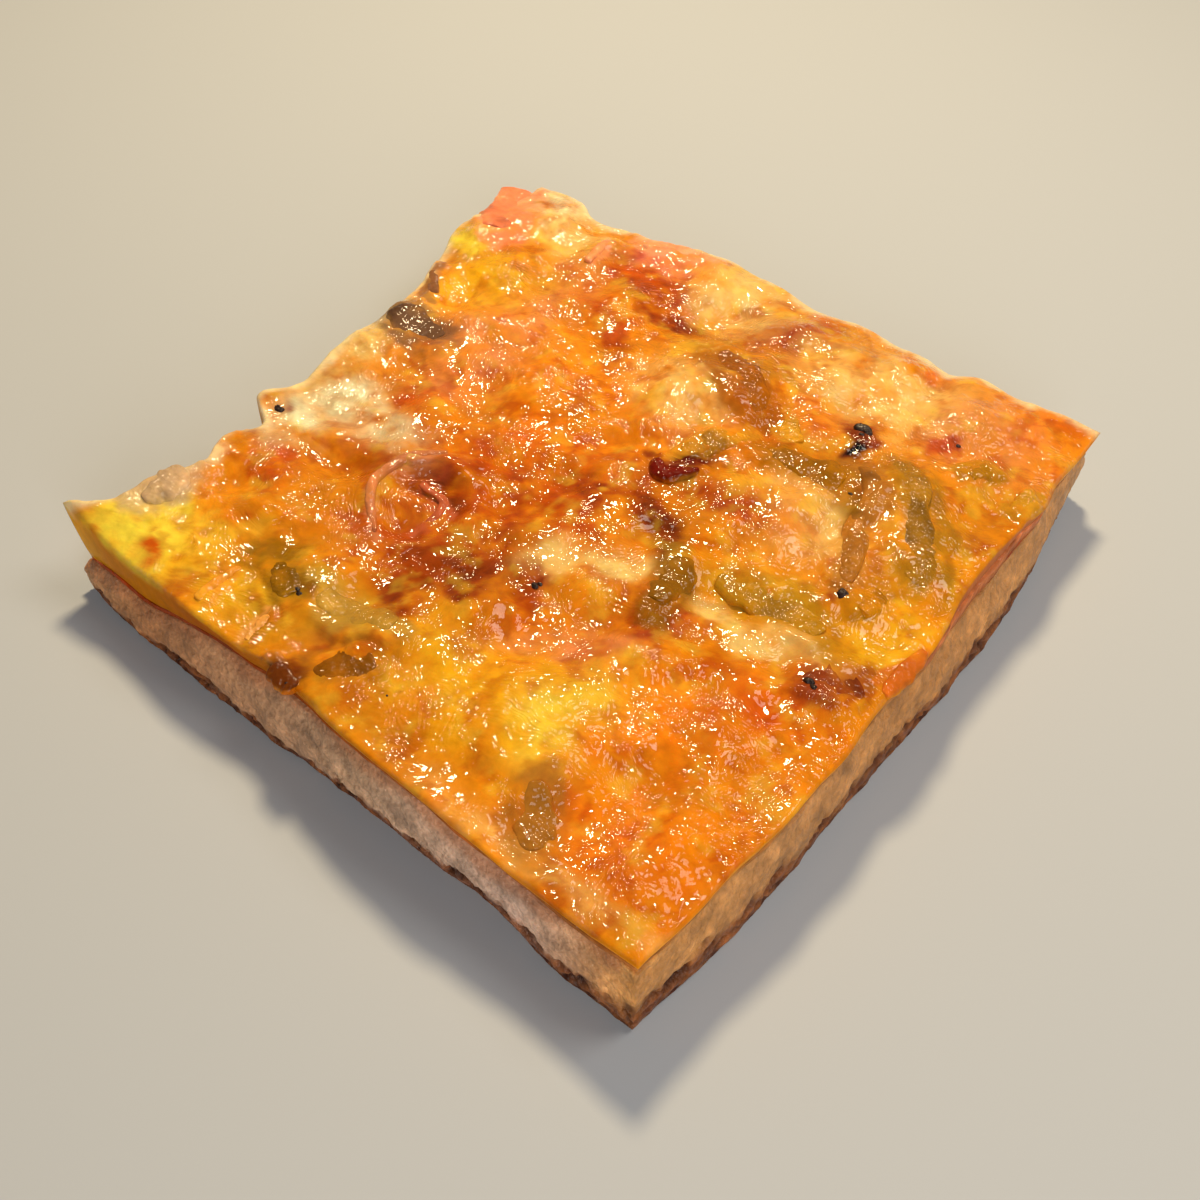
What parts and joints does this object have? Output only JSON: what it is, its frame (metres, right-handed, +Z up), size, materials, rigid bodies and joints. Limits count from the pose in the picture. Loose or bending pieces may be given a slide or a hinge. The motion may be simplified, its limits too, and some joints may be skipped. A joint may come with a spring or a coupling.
{
  "type": "deep dish pizza slice",
  "caption": "Square-cut slice of thick tray pizza: soft bread base, thin tomato layer and browned melted cheese holding strips of ham, pepper, mushroom and onion",
  "frame": {"origin": "on the flat underside, near the middle of the slice", "axes": "+X along the front cut from its left to its right corner, +Y along the right cut towards the back, +Z up through the layers"},
  "size_m": [0.1478, 0.1504, 0.0247],
  "materials": {
    "crumb": "soft bread crumb, browned and pitted near the underside",
    "sauce": "moist tomato sauce",
    "cheese": "melted cheese, oily, golden yellow to browned orange",
    "ham": "moist cooked ham",
    "pepper": "cooked olive-green pepper, glossy",
    "browned": "dark red-brown roasted vegetable",
    "mushroom": "cooked mushroom, dark and moist",
    "onion": "cooked red onion, thin and glossy"
  },
  "bodies": {
    "root": {"bread_base": "crumb", "browned_knob": "browned", "browned_scrap": "browned", "cheese": "cheese", "ham_back": "ham", "ham_corner": "ham", "ham_scrap": "ham", "ham_slice": "ham", "mushroom_back": "mushroom", "mushroom_left": "mushroom", "mushroom_thin": "mushroom", "onion_far": "onion", "onion_front": "onion", "onion_inner": "onion", "onion_near": "onion", "onion_ring": "onion", "pepper_bit": "pepper", "pepper_broad": "pepper", "pepper_browned": "browned", "pepper_curl": "browned", "pepper_dark": "pepper", "pepper_deep": "pepper", "pepper_far_bit": "pepper", "pepper_front": "pepper", "pepper_level": "pepper", "pepper_long": "pepper", "pepper_pale": "pepper", "pepper_short": "pepper", "pepper_side_bit": "pepper", "pepper_thin": "pepper", "pepper_upright": "pepper", "pepper_wide": "pepper", "tomato_sauce": "sauce"}
  },
  "joints": []
}
